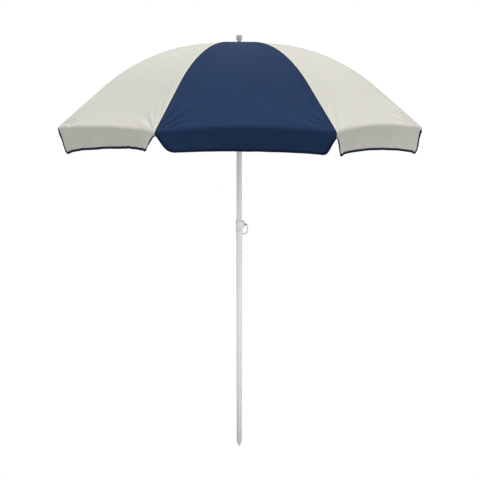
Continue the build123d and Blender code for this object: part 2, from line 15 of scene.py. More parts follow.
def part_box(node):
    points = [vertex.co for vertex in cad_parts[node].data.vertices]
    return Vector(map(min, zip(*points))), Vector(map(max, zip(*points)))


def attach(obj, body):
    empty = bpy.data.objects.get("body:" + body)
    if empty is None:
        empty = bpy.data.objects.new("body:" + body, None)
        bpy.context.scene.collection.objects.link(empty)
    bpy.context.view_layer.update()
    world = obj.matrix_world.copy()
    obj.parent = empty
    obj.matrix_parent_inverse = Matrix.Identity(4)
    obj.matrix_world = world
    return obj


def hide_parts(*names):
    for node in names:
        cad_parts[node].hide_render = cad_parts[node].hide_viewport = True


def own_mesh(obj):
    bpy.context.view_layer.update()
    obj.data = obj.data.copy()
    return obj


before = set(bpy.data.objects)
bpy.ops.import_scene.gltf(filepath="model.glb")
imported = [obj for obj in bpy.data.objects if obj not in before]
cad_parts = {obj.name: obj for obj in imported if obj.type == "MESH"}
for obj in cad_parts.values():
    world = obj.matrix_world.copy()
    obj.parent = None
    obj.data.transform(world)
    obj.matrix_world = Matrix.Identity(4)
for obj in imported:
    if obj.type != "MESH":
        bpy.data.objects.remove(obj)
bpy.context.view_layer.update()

# %% [markdown]
# ## The camera
# A person standing about three paces off looks slightly down on the canopy's edge. The camera stands at
# that height, a little to the left of the panel that faces it, and looks down by about twelve degrees.
# A real lens is set by its length in millimetres on a 36 mm wide sensor.

# %% Camera
CAMERA_AWAY = 2.7515
CAMERA_UP = 1.6966
CAMERA_LEFT = radians(1.80)
CAMERA_DOWN = radians(12.65)
CAMERA_YAW = -0.0014
CAMERA_LENS = 44.85
camera_data = bpy.data.cameras.new("camera")
camera_data.lens = CAMERA_LENS
camera_data.sensor_width = 36.0
camera_data.clip_end = 200.0
camera = bpy.data.objects.new("camera", camera_data)
bpy.context.scene.collection.objects.link(camera)
camera.location = (-CAMERA_AWAY * sin(CAMERA_LEFT), -CAMERA_AWAY * cos(CAMERA_LEFT), CAMERA_UP)
camera.rotation_euler = (pi / 2 - CAMERA_DOWN, 0.0, -CAMERA_LEFT + CAMERA_YAW)
bpy.context.scene.camera = camera
print("camera at", [round(c, 3) for c in camera.location])

# %% [markdown]
# ## Floor and light
# A white studio for a tall thing. The light is a wide soft sun almost straight above, so that the tops of
# the panels are light and the hanging valances are in soft shade, with a bright even sky and the bounce
# of the floor. The camera sees sky and floor quite white, while what lights the umbrella is less bright:
# a Light Path node tells the two apart. Two low lamps with narrow beams light the round pole and pass
# below the canopy.

# %% Mesh helper
def mesh_object(name, vertices, faces, smooth=True):
    mesh = bpy.data.meshes.new(name)
    mesh.from_pydata([tuple(v) for v in vertices], [], [tuple(f) for f in faces])
    mesh.update()
    if smooth:
        mesh.shade_smooth()
    made = bpy.data.objects.new(name, mesh)
    bpy.context.scene.collection.objects.link(made)
    return made


# %% Floor: pale paint for the light it throws back, plain white to the eye
FLOOR_HALF = 60.0
FLOOR_BOUNCE = (0.36, 0.36, 0.36)
h = FLOOR_HALF
floor = mesh_object("floor", [(-h, -h, 0), (h, -h, 0), (h, h, 0), (-h, h, 0)], [(0, 1, 2, 3)], smooth=False)
paint = bpy.data.materials.new("floor_paint")
paint.use_nodes = True
tree = paint.node_tree
matt = tree.nodes["Principled BSDF"]
matt.inputs["Base Color"].default_value = (*FLOOR_BOUNCE, 1.0)
matt.inputs["Roughness"].default_value = 0.9
matt.inputs["Specular IOR Level"].default_value = 0.0
bright = tree.nodes.new("ShaderNodeEmission")
bright.inputs["Color"].default_value = (1.0, 1.0, 1.0, 1.0)
bright.inputs["Strength"].default_value = 1.0
seen = tree.nodes.new("ShaderNodeLightPath")
choose = tree.nodes.new("ShaderNodeMixShader")
tree.links.new(seen.outputs["Is Camera Ray"], choose.inputs[0])
tree.links.new(matt.outputs[0], choose.inputs[1])
tree.links.new(bright.outputs[0], choose.inputs[2])
tree.links.new(choose.outputs[0], tree.nodes["Material Output"].inputs["Surface"])
floor.data.materials.append(paint)

# %% Sky: one white for the eye, a softer one for the light it gives
SKY_SEEN = 1.0
SKY_LIGHT = 0.45
world = bpy.data.worlds.new("studio")
bpy.context.scene.world = world
world.use_nodes = True
sky = world.node_tree
glow = sky.nodes["Background"]
glow.inputs["Color"].default_value = (1.0, 1.0, 1.0, 1.0)
glow.inputs["Strength"].default_value = SKY_LIGHT
white = sky.nodes.new("ShaderNodeBackground")
white.inputs["Color"].default_value = (1.0, 1.0, 1.0, 1.0)
white.inputs["Strength"].default_value = SKY_SEEN
path = sky.nodes.new("ShaderNodeLightPath")
pick = sky.nodes.new("ShaderNodeMixShader")
sky.links.new(path.outputs["Is Camera Ray"], pick.inputs[0])
sky.links.new(glow.outputs[0], pick.inputs[1])
sky.links.new(white.outputs[0], pick.inputs[2])
sky.links.new(pick.outputs[0], sky.nodes["World Output"].inputs["Surface"])


# %% Lamps
SUN_POWER = 2.20
SUN_SOFTNESS = radians(50)
SIDE_LAMPS = {
    "right_lamp": ((2.5, -1.7, 0.60), 2.6),
    "left_lamp": ((-2.0, -2.4, 0.60), 2.2),
}
SIDE_AIM = (0, 0, 0.66)
SIDE_WIDE, SIDE_TALL = 0.7, 1.4
SIDE_SPREAD = radians(42)


def add_lamp(name, kind, place, aim, power):
    data = bpy.data.lights.new(name, kind)
    data.energy = power
    lamp = bpy.data.objects.new(name, data)
    bpy.context.scene.collection.objects.link(lamp)
    lamp.location = place
    lamp.rotation_euler = (Vector(aim) - Vector(place)).to_track_quat("-Z", "Y").to_euler()
    return data


overhead = add_lamp("overhead", "SUN", (0.5, -0.2, 6.0), (0, 0, 0), SUN_POWER)
overhead.angle = SUN_SOFTNESS
for name, (place, power) in SIDE_LAMPS.items():
    lamp = add_lamp(name, "AREA", place, SIDE_AIM, power)
    lamp.shape = "RECTANGLE"
    lamp.size = SIDE_WIDE
    lamp.size_y = SIDE_TALL
    lamp.spread = SIDE_SPREAD
bpy.context.scene.view_settings.view_transform = "Standard"
print("a soft sun,", len(SIDE_LAMPS), "low lamps and a white sky")

# %% [markdown]
# ## Shader groups that several finishes share
# Cloth, poles and plastics share a few effects: a plain weave, stitches, dust and fine scratches. Each
# is built once as a node group with named inputs. A group puts out only what changes over the surface.

# %% Group helpers
def new_group(name, inputs, outputs):
    group = bpy.data.node_groups.new(name, "ShaderNodeTree")
    for label, kind, value in inputs:
        socket = group.interface.new_socket(name=label, in_out="INPUT", socket_type=kind)
        if value is not None:
            socket.default_value = value
    for label, kind in outputs:
        group.interface.new_socket(name=label, in_out="OUTPUT", socket_type=kind)
    return group, group.nodes.new("NodeGroupInput"), group.nodes.new("NodeGroupOutput")


def math_node(tree, operation, a, b=None, c=None, clamp=False):
    node = tree.nodes.new("ShaderNodeMath")
    node.operation = operation
    node.use_clamp = clamp
    for slot, value in enumerate((a, b, c)):
        if value is None:
            continue
        if isinstance(value, (int, float)):
            node.inputs[slot].default_value = value
        else:
            tree.links.new(value, node.inputs[slot])
    return node.outputs[0]


def noise_node(tree, vector, scale, detail=2.0, roughness=0.5):
    node = tree.nodes.new("ShaderNodeTexNoise")
    node.inputs["Detail"].default_value = detail
    node.inputs["Roughness"].default_value = roughness
    if isinstance(scale, (int, float)):
        node.inputs["Scale"].default_value = scale
    else:
        tree.links.new(scale, node.inputs["Scale"])
    if vector is not None:
        tree.links.new(vector, node.inputs["Vector"])
    return node.outputs["Fac"]


def remap(tree, value, from_low, from_high, to_low=0.0, to_high=1.0):
    node = tree.nodes.new("ShaderNodeMapRange")
    node.inputs["From Min"].default_value = from_low
    node.inputs["From Max"].default_value = from_high
    node.inputs["To Min"].default_value = to_low
    node.inputs["To Max"].default_value = to_high
    tree.links.new(value, node.inputs["Value"])
    return node.outputs["Result"]


# %% Weave: threads over and under, with slubs and a soft mottle
SLUB_LONG, SLUB_FINE = 18.0, 900.0
MOTTLE_SCALE = 9.0


def make_weave_group():
    group, given, result = new_group(
        "Weave",
        [
            ("Cloth Place", "NodeSocketVector", None),
            ("Thread", "NodeSocketFloat", 0.0012),
            ("Slub", "NodeSocketFloat", 0.5),
        ],
        [("Height", "NodeSocketFloat"), ("Mottle", "NodeSocketFloat"), ("Slubs", "NodeSocketFloat")],
    )
    split = group.nodes.new("ShaderNodeSeparateXYZ")
    group.links.new(given.outputs["Cloth Place"], split.inputs[0])
    per = math_node(group, "DIVIDE", pi, given.outputs["Thread"])
    warp = math_node(group, "SINE", math_node(group, "MULTIPLY", split.outputs[0], per))
    weft = math_node(group, "SINE", math_node(group, "MULTIPLY", split.outputs[1], per))
    over = math_node(group, "MULTIPLY", warp, weft)
    height = remap(group, over, -1.0, 1.0)
    group.links.new(height, result.inputs["Height"])
    slub_parts = []
    for scale in ((SLUB_LONG, SLUB_FINE, 1.0), (SLUB_FINE, SLUB_LONG, 1.0)):
        stretch = group.nodes.new("ShaderNodeMapping")
        stretch.inputs["Scale"].default_value = scale
        group.links.new(given.outputs["Cloth Place"], stretch.inputs["Vector"])
        slub_parts.append(noise_node(group, stretch.outputs[0], 1.0, 3.0))
    slub = remap(group, math_node(group, "ADD", *slub_parts), 0.7, 1.3)
    slub = math_node(group, "MULTIPLY", slub, given.outputs["Slub"])
    group.links.new(slub, result.inputs["Slubs"])
    mottle = noise_node(group, given.outputs["Cloth Place"], MOTTLE_SCALE, 4.0, 0.6)
    group.links.new(remap(group, mottle, 0.3, 0.7), result.inputs["Mottle"])
    return group


WEAVE = make_weave_group()


# %% Stitches: a dashed row at a set distance from a seam
THREAD_EDGE, THREAD_CORE = 0.0007, 0.0003
DENT_REACH = 0.003


def make_stitch_group():
    group, given, result = new_group(
        "Stitches",
        [
            ("Seam Place", "NodeSocketVector", None),
            ("Away", "NodeSocketFloat", 0.004),
            ("Step", "NodeSocketFloat", 0.0035),
        ],
        [("Thread", "NodeSocketFloat"), ("Dent", "NodeSocketFloat")],
    )
    split = group.nodes.new("ShaderNodeSeparateXYZ")
    group.links.new(given.outputs["Seam Place"], split.inputs[0])
    off = math_node(group, "SUBTRACT", split.outputs[1], given.outputs["Away"])
    off = math_node(group, "ABSOLUTE", off)
    near = remap(group, off, THREAD_EDGE, THREAD_CORE)
    beat = math_node(group, "FRACT", math_node(group, "DIVIDE", split.outputs[0], given.outputs["Step"]))
    from_middle = math_node(group, "ABSOLUTE", math_node(group, "SUBTRACT", beat, 0.5))
    dash = remap(group, from_middle, 0.40, 0.30)
    group.links.new(math_node(group, "MULTIPLY", near, dash), result.inputs["Thread"])
    group.links.new(remap(group, off, DENT_REACH, 0.0), result.inputs["Dent"])
    return group


STITCHES = make_stitch_group()


# %% Handling: scratches, a soft cloud and a dusty foot for poles and plastic
SCRATCH_STRETCH = (700.0, 700.0, 9.0)


def make_handling_group():
    group, given, result = new_group(
        "Handling",
        [
            ("Place", "NodeSocketVector", None),
            ("Dust Height", "NodeSocketFloat", 0.12),
            ("Scuffs", "NodeSocketFloat", 0.5),
        ],
        [("Dust", "NodeSocketFloat"), ("Scratch", "NodeSocketFloat"), ("Cloud", "NodeSocketFloat")],
    )
    place = given.outputs["Place"]
    split = group.nodes.new("ShaderNodeSeparateXYZ")
    group.links.new(place, split.inputs[0])
    climbed = math_node(group, "DIVIDE", split.outputs[2], given.outputs["Dust Height"])
    foot = math_node(group, "SUBTRACT", 1.0, climbed, clamp=True)
    grain = remap(group, noise_node(group, place, 60.0, 5.0, 0.7), 0.42, 0.62)
    group.links.new(math_node(group, "MULTIPLY", foot, grain), result.inputs["Dust"])
    stretch = group.nodes.new("ShaderNodeMapping")
    stretch.inputs["Scale"].default_value = SCRATCH_STRETCH
    group.links.new(place, stretch.inputs["Vector"])
    line = remap(group, noise_node(group, stretch.outputs[0], 1.0, 2.0), 0.66, 0.74)
    patch = remap(group, noise_node(group, place, 7.0, 2.0), 0.5, 0.62)
    scratch = math_node(group, "MULTIPLY", math_node(group, "MULTIPLY", line, patch), given.outputs["Scuffs"])
    group.links.new(scratch, result.inputs["Scratch"])
    cloud = remap(group, noise_node(group, place, 22.0, 4.0, 0.6), 0.3, 0.7)
    group.links.new(cloud, result.inputs["Cloud"])
    return group


HANDLING = make_handling_group()
print("shader groups:", WEAVE.name, STITCHES.name, HANDLING.name)

# %% [markdown]
# ## Cloth finishes
# The panels are plain-woven polyester. Navy and beige share one recipe: the weave gives a very fine bump,
# slubs and a mottle shift the colour by a few percent, and a faint sheen stands for the fibres' fuzz.
# The cloth's own map is in metres, so a thread is the same size everywhere on the canopy.

# %% Cloth recipe
def place_group(material, group, **values):
    node = material.node_tree.nodes.new("ShaderNodeGroup")
    node.node_tree = group
    for label, value in values.items():
        node.inputs[label.replace("_", " ")].default_value = value
    return node


def blend_colour(material, amount, low, high):
    """A colour between low and high, led by a mask; low or high may be another colour's socket."""
    node = material.node_tree.nodes.new("ShaderNodeMix")
    node.data_type = "RGBA"
    for label, value in ((6, low), (7, high)):
        if isinstance(value, tuple):
            node.inputs[label].default_value = (*value, 1.0)
        else:
            material.node_tree.links.new(value, node.inputs[label])
    material.node_tree.links.new(amount, node.inputs[0])
    return node.outputs[2]


def map_named(material, name):
    node = material.node_tree.nodes.new("ShaderNodeUVMap")
    node.uv_map = name
    return node.outputs["UV"]


def bump(material, height, strength, distance, normal=None):
    node = material.node_tree.nodes.new("ShaderNodeBump")
    node.inputs["Strength"].default_value = strength
    node.inputs["Distance"].default_value = distance
    material.node_tree.links.new(height, node.inputs["Height"])
    if normal is not None:
        material.node_tree.links.new(normal, node.inputs["Normal"])
    return node.outputs["Normal"]


STITCH_ROWS = (("rim", 0.0035), ("rib", 0.0050))
STITCH_STEP = 0.0034
THREAD_PITCH = 0.0011
CLOTH_ROUGH = 0.85


def cloth_material(name, dark, light, thread_colour=None, seam_shade_colour=None):
    """Woven cloth between two near colours. Stitch rows are sewn where a thread's colour is given, and a line
    of painted shade runs beside the rib where its colour is given.
    """
    material = bpy.data.materials.new(name)
    material.use_nodes = True
    tree, link = material.node_tree, material.node_tree.links.new
    shader = tree.nodes["Principled BSDF"]
    shader.inputs["Sheen Weight"].default_value = 0.03
    shader.inputs["Sheen Roughness"].default_value = 0.5
    shader.inputs["Specular IOR Level"].default_value = 0.12
    weave = place_group(material, WEAVE, Thread=THREAD_PITCH, Slub=1.0)
    link(map_named(material, "cloth"), weave.inputs["Cloth Place"])
    half_mottle = math_node(tree, "MULTIPLY", weave.outputs["Mottle"], 0.5)
    half_slubs = math_node(tree, "MULTIPLY", weave.outputs["Slubs"], 0.5)
    tone = math_node(tree, "ADD", half_mottle, half_slubs)
    colour = blend_colour(material, tone, dark, light)
    height = math_node(tree, "MULTIPLY_ADD", weave.outputs["Slubs"], 0.6, weave.outputs["Height"])
    normal = bump(material, height, 0.25, 0.00012)
    if thread_colour:
        for map_name, away in STITCH_ROWS:
            stitches = place_group(material, STITCHES, Away=away, Step=STITCH_STEP)
            link(map_named(material, map_name), stitches.inputs["Seam Place"])
            colour = blend_colour(material, stitches.outputs["Thread"], colour, thread_colour)
            raised = math_node(tree, "SUBTRACT", stitches.outputs["Thread"], stitches.outputs["Dent"])
            normal = bump(material, raised, 0.5, 0.0003, normal)
    if seam_shade_colour:
        # a narrow darker line beside the rib: painted shade where the seam turns the cloth down
        apart = tree.nodes.new("ShaderNodeSeparateXYZ")
        link(map_named(material, "rib"), apart.inputs[0])
        edge = remap(tree, apart.outputs[1], 0.0042, 0.0030)
        colour = blend_colour(material, edge, colour, seam_shade_colour)
    link(colour, shader.inputs["Base Color"])
    link(remap(tree, tone, 0.0, 1.0, CLOTH_ROUGH - 0.06, CLOTH_ROUGH + 0.06), shader.inputs["Roughness"])
    link(normal, shader.inputs["Normal"])
    return material


# the navy's darker line beside each rib is painted shade at the seam's fold
NAVY = cloth_material(
    "cloth_navy", (0.0150, 0.0372, 0.0980), (0.0180, 0.0430, 0.1120),
    thread_colour=(0.022, 0.045, 0.11), seam_shade_colour=(0.0085, 0.0215, 0.0640),
)
BEIGE = cloth_material(
    "cloth_beige", (0.660, 0.650, 0.590), (0.700, 0.690, 0.628), thread_colour=(0.70, 0.68, 0.60),
)
BINDING = cloth_material("binding_tape", (0.0070, 0.0165, 0.0530), (0.0100, 0.0215, 0.0640))
# paler than the beige cloth the seam allowance is cut from: painted highlight along the raised cord; the rib
# ties share this colour
PIPING_PAINTED_HIGHLIGHT = cloth_material("seam_piping_painted_highlight", (0.90, 0.865, 0.74), (0.93, 0.90, 0.79))
print("cloth finishes:", NAVY.name, BEIGE.name, BINDING.name, PIPING_PAINTED_HIGHLIGHT.name)

# %% [markdown]
# ## The shape of the canopy
# Along a rib the cloth runs straight from the crown, bends over, and runs straight to the tip. Between
# two ribs it is pulled tight, so it lies on straight lines from rib to rib, a little hollow. The lower
# edge draws in between the tips, and there the cloth folds over into the hanging valance.
# The three-part line below is the frame's own, and the cell prints its end beside the frame's cloth boxes.

# %% The fabric line along a rib
CROWN_Z = 1.970
SLOPE_IN = radians(5.2)
SLOPE_OUT = radians(39.8)
LINE_IN = 0.153
BEND = 0.822
LINE_OUT = 0.247
PANELS = 8
HALF = pi / PANELS
knee = (LINE_IN * cos(SLOPE_IN), CROWN_Z - LINE_IN * sin(SLOPE_IN))
bend_centre = (knee[0] - BEND * sin(SLOPE_IN), knee[1] - BEND * cos(SLOPE_IN))
bend_end = (bend_centre[0] + BEND * sin(SLOPE_OUT), bend_centre[1] + BEND * cos(SLOPE_OUT))
TIP_R = bend_end[0] + LINE_OUT * cos(SLOPE_OUT)
TIP_Z = bend_end[1] - LINE_OUT * sin(SLOPE_OUT)


def fabric_z(r):
    """Height of the cloth over a rib at distance r from the pole's axis (an array or a number)."""
    r = np.asarray(r, float)
    bend_part = bend_centre[1] + np.sqrt(np.maximum(BEND ** 2 - (r - bend_centre[0]) ** 2, 0.0))
    out = np.where(r <= knee[0], CROWN_Z - r * tan(SLOPE_IN), bend_part)
    return np.where(r > bend_end[0], bend_end[1] - (r - bend_end[0]) * tan(SLOPE_OUT), out)


cloth_boxes = [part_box(n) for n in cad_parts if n.startswith("canopy_")]
cloth_low = min(b[0][2] for b in cloth_boxes)
cloth_high = max(b[1][2] for b in cloth_boxes)
print("tip at", round(TIP_R, 4), round(TIP_Z, 4))
print("frame's cloth from", round(cloth_low, 4), "to", round(cloth_high, 4))

# %% The rim, drawn in between the tips
RIM_U = TIP_R * cos(HALF)
RIM_V = TIP_R * sin(HALF)
RIM_ARCH = 0.022
RIM_CURVE = (RIM_V ** 2 + RIM_ARCH ** 2) / (2 * RIM_ARCH)
CROWN_HOLE = 0.0055


def rim_u(v):
    """How far out the rim is at v across the panel: hollow between the tips."""
    return RIM_U - RIM_ARCH + RIM_CURVE - np.sqrt(RIM_CURVE ** 2 - np.asarray(v, float) ** 2)


print("rim at the middle", round(float(rim_u(0)), 4), "and at the tips", round(float(rim_u(RIM_V)), 4))

# %% [markdown]
# ## Folds and puckers
# Tight cloth shows where it is pulled. Short folds fan out from each rib tip, the seam along a rib puckers
# the cloth beside it, and the panel keeps the memory of how it was packed. Each effect is a height above
# the smooth surface, and they are added up. A small value noise, written out here, keeps every run alike.

# %% Smooth noise for arrays
def lattice(ix, iy, seed):
    n = (ix * 374761393 + iy * 668265263 + seed * 1442695041) & 0x7FFFFFFF
    n = ((n ^ (n >> 13)) * 1274126177) & 0x7FFFFFFF
    return ((n ^ (n >> 16)) & 0xFFFF) / 65535.0 * 2 - 1


def smooth_noise(x, y, seed):
    """Values from -1 to 1 that change smoothly, one wave per unit or so."""
    x, y = np.broadcast_arrays(np.asarray(x, float), np.asarray(y, float))
    ix, iy = np.floor(x).astype(np.int64), np.floor(y).astype(np.int64)
    fx, fy = x - ix, y - iy
    fx, fy = fx * fx * fx * (fx * (fx * 6 - 15) + 10), fy * fy * fy * (fy * (fy * 6 - 15) + 10)
    a, b = lattice(ix, iy, seed), lattice(ix + 1, iy, seed)
    c, d = lattice(ix, iy + 1, seed), lattice(ix + 1, iy + 1, seed)
    return (a + (b - a) * fx) * (1 - fy) + (c + (d - c) * fx) * fy


def ease(x, low, high):
    t = np.clip((np.asarray(x, float) - low) / (high - low), 0, 1)
    return t * t * (3 - 2 * t)


# %% Heights of the folds on one half panel
SAG = 0.007
RIM_SAG = {5: 0.011, 6: 0.002, 7: 0.001}
RIM_SAG_ELSEWHERE = 0.003
FAN_DEPTH, FAN_FROM_TIP, FAN_REACH = 0.0034, 0.045, 0.070
LONG_FAN_DEPTH = 0.0011
PUCKER_DEPTH = 0.00085
# streaks beside the rib: depth, distance from the rib, width, changes along and across, seed
STREAKS = ((0.0017, 0.026, 0.012, 9, 160, 211), (0.0012, 0.060, 0.022, 6, 90, 311))
DRAPE_DEPTH, CREASE_DEPTH = 0.0016, 0.0006


def fold_height(along, across, half_width, panel, rib, side, share):
    """along: from the crown; across: from the panel's middle line; share: 0 at the crown, 1 at the rim."""
    from_rib = np.maximum(half_width - across, 0.0)
    signed = across * side
    rib_hold = 1 - np.exp(-from_rib / 0.010)
    t = across / np.maximum(half_width, 1e-6)
    sag = -SAG * np.sin(pi * np.clip(share, 0, 1) ** 0.9) * (1 - t * t)
    to_tip = (1 - share) * 0.88
    reach = np.sqrt(from_rib ** 2 + to_tip ** 2)
    turn = np.arctan2(from_rib, to_tip + 1e-6)
    inner = ease(t, 0.0, 0.35)
    wobble = 0.9 * smooth_noise(reach * 14, turn * 2.0, 31 * rib + side)
    fan = np.cos(turn * (13 + (rib * 3 + side) % 4) + wobble * 1.6 + rib * 1.7)
    strength = 0.6 + 0.4 * smooth_noise(rib * 1.7, side * 2.3, 5)
    fan_height = FAN_DEPTH * strength * fan * np.exp(-((reach - FAN_FROM_TIP) / FAN_REACH) ** 2)
    long_fan = LONG_FAN_DEPTH * np.cos(turn * 9 + rib) * np.exp(-reach / 0.20)
    hold = rib_hold * ease(t, 0.04, 0.45)
    own = rib * 2 + side
    pucker = PUCKER_DEPTH * np.exp(-from_rib / 0.018) * smooth_noise(along * 48, from_rib * 60, 77 + own)
    streak = 0.0
    for depth, away, wide, change_along, change_across, seed in STREAKS:
        band = np.exp(-((from_rib - away) / wide) ** 2)
        lines = smooth_noise(along * change_along, from_rib * change_across, seed + own)
        streak = streak + depth * band * lines
    drape = DRAPE_DEPTH * smooth_noise(signed * 5.5 + 3 * panel, along * 4.5, 400 + panel)
    drape = drape * np.clip(share * 1.6, 0, 1)
    drape = drape + CREASE_DEPTH * smooth_noise(signed * 18 + along * 9, along * 5, 500 + panel)
    low_sag = -RIM_SAG.get(panel, RIM_SAG_ELSEWHERE) * ease(share, 0.55, 1.0) * (1 - t * t)
    return sag + low_sag + hold * (fan_height + long_fan) + rib_hold * (inner * (pucker + streak) + drape)


# %% [markdown]
# ## One half panel as a sheet
# A panel has to follow two ribs when the umbrella folds, so it is made as two halves that meet on the
# panel's middle line, each carried by its own rib. The grid runs from the crown down to the rim, rounds
# the rim fold on a small curve, and goes on down the valance. The valance's side edge leaves the rib's
# line at the top of the notch and curves away from it to the lower corner.

# %% Outline of the valance's side and lower edges
HEM_Z = 1.5455
# how far the hem hangs below HEM_Z at a panel's middle and at its two corners (side -1, side +1)
HEM_DROP = {
    0: (0.006, 0.016, 0.012),
    1: (0.004, 0.010, 0.020),
    2: (0.005, 0.014, 0.009),
    3: (0.007, 0.018, 0.012),
    4: (0.002, 0.009, 0.004),
    5: (0.004, 0.034, -0.001),
    6: (0.0, 0.003, 0.011),
    7: (0.011, 0.016, 0.036),
}
# the notch's top below the rib tip, then the side edge: how far it stands in from the rib's line, and
# which part of the way from the notch's top to the hem it has come
CORNERS = {
    (4, 1): (0.0060, [
        (0.008, 0.06), (0.032, 0.36), (0.056, 0.70), (0.078, 0.94), (0.100, 1.00), (0.120, 1.00),
    ]),
    (5, 1): (0.0140, [
        (0.003, 0.01), (0.018, 0.21), (0.031, 0.52), (0.041, 0.70), (0.054, 1.07), (0.080, 1.04),
    ]),
    (5, -1): (0.0020, [
        (0.003, 0.05), (0.020, 0.46), (0.028, 0.70), (0.042, 1.06), (0.066, 1.03),
    ]),
    (6, -1): (0.0110, [
        (0.006, 0.03), (0.018, 0.38), (0.031, 0.70), (0.043, 0.90), (0.060, 1.00), (0.076, 1.00),
    ]),
    (6, 1): (0.0210, [
        (0.002, 0.01), (0.012, 0.32), (0.023, 0.72), (0.031, 0.95), (0.042, 1.02), (0.054, 1.00),
    ]),
    (7, -1): (0.0210, [
        (0.002, 0.01), (0.014, 0.24), (0.019, 0.56), (0.026, 0.84), (0.034, 1.07), (0.058, 1.02),
    ]),
    (7, 1): (0.0130, [
        (0.002, 0.04), (0.011, 0.40), (0.018, 0.70), (0.027, 1.06), (0.050, 1.02),
    ]),
    "navy": (0.0120, [
        (0.006, 0.03), (0.018, 0.36), (0.030, 0.70), (0.041, 0.91), (0.055, 1.00), (0.070, 1.00),
    ]),
    "beige": (0.0120, [
        (0.005, 0.02), (0.016, 0.28), (0.025, 0.54), (0.032, 0.74), (0.044, 1.06), (0.066, 1.03),
    ]),
}
HEM_REACH = 0.272


def hem_z(panel, v):
    """Height of the lower edge at v across the panel, counted from its middle line."""
    middle, left, right = HEM_DROP[panel]
    s = np.asarray(v, float) / HEM_REACH
    bend = (left + right) / 2 - middle
    tilt = (right - left) / 2
    wave = 0.0011 * smooth_noise(s * 5.5 + 9 * panel, 0.5, 800 + panel)
    if panel == 5:
        wave = wave * 1.6 + 0.0016 * smooth_noise(s * 11 + 3, 0.5, 861)
    return HEM_Z - middle - tilt * s - bend * np.abs(s) ** 2.2 + wave


def corner_of(panel, side, colour):
    return CORNERS.get((panel, side), CORNERS[colour])


def free_outline(panel, side, colour):
    """The free edge as points (across, height): from the notch's top round the corner to the middle line."""
    drop, line = corner_of(panel, side, colour)
    top = TIP_Z - drop
    points = [(RIM_V, top)]
    for inset, part in line:
        low = float(hem_z(panel, side * (RIM_V - inset)))
        points.append((RIM_V - inset, top + (low - top) * part))
    rest = np.linspace(RIM_V - line[-1][0] - 0.008, 0, 60)
    points = np.concatenate([points, np.stack([rest, hem_z(panel, side * rest)], -1)])
    for _ in range(3):
        early = 0.75 * points[:-1] + 0.25 * points[1:]
        late = 0.25 * points[:-1] + 0.75 * points[1:]
        points = np.concatenate([points[:1], np.stack([early, late], 1).reshape(-1, 2), points[-1:]])
    return points


def run_length(path):
    """Distance from the path's start to each of its points."""
    return np.concatenate([[0], np.cumsum(np.linalg.norm(np.diff(path, axis=0), axis=1))])


def along_path(path, parts):
    """Points at the given parts of a path's length."""
    run = run_length(path)
    where = np.asarray(parts) * run[-1]
    return np.stack([np.interp(where, run, path[:, i]) for i in range(path.shape[1])], -1)


# %% Grid of one half panel
ROWS, COLS = 84, 40
RIM_ROWS = 8
FOLD_ROWS, DROP_ROWS = 7, 26
# the valance's first rows pass above the notch, down to this depth
HIGH_ROWS = 4
HIGH_DEPTH = 0.0115
FOLD = 0.0085
PANEL_LONG = 0.75
LEAN_IN = 0.0065
FRONT_LEAN = 0.012


def half_panel_grid(panel, side, rib, colour):
    """Points as [row, column] in the panel's frame: u outwards, v towards the rib, z up.

    Column 0 is the panel's middle line.
    """
    t = 1 - (1 - np.linspace(0, 1, COLS + 1)) ** 1.5
    s = np.linspace(0, 1, ROWS + 1) ** 0.92
    s = np.concatenate([s[:-RIM_ROWS], np.linspace(s[-RIM_ROWS], 1, 14)])
    tan_half = tan(HALF)
    # v on the rim for each column, then lines of constant share run up to the crown
    v_end = RIM_V * t
    u_end = rim_u(v_end)
    width_end = u_end * tan_half
    v_end = np.minimum(v_end, width_end)
    u = CROWN_HOLE + (u_end - CROWN_HOLE)[None, :] * s[:, None]
    ratio = v_end / width_end
    v = u * tan_half * ratio[None, :]
    z = fabric_z(u / cos(HALF))
    share = s[:, None] * np.ones_like(u)
    along = u * 1.12
    height = fold_height(along, v, u * tan_half, panel, rib, side, share)
    # lift every point along the smooth surface's own normal
    slope = np.gradient(fabric_z(np.linspace(0, 0.83, 200)), 0.83 / 199)
    lean = np.interp(u / cos(HALF), np.linspace(0, 0.83, 200), slope) / cos(HALF)
    n_u, n_z = -lean / np.sqrt(1 + lean ** 2), 1 / np.sqrt(1 + lean ** 2)
    u, z = u + height * n_u, z + height * n_z
    # direction of the cloth at the rim, and down the valance
    rim = np.stack([u[-1], v[-1], z[-1]], -1)
    before = np.stack([u[-4], v[-4], z[-4]], -1)
    into = rim - before
    into /= np.linalg.norm(into, axis=1)[:, None]
    lean_in = LEAN_IN + 0.002 * smooth_noise(panel * 1.3, 0.5, 9) + (FRONT_LEAN if panel == 4 else 0.0)
    bottom = valance_rows(panel, side, rib, colour, t, rim, lean_in)
    down = bottom[HIGH_ROWS] - rim
    down /= np.linalg.norm(down, axis=1)[:, None]
    start, end = rim - into * FOLD, rim + down * FOLD
    keep = s <= 1 - FOLD * 1.5 / PANEL_LONG
    keep[-1] = False
    gore = np.stack([u, v, z], -1)[keep]
    fold = []
    for k in np.linspace(0, 1, FOLD_ROWS + 1):
        fold.append((1 - k) ** 2 * start + 2 * k * (1 - k) * rim + k * k * end)
    return np.concatenate([gore, np.array(fold), bottom[HIGH_ROWS:]]), int(keep.sum())


# %% Rows of the valance
CORNER_TURN = 0.84
WAVE_DEPTH, RIPPLE_DEPTH = 0.0040, 0.0018
PINCH_DEPTH, CURL_DEPTH = 0.0028, 0.0021


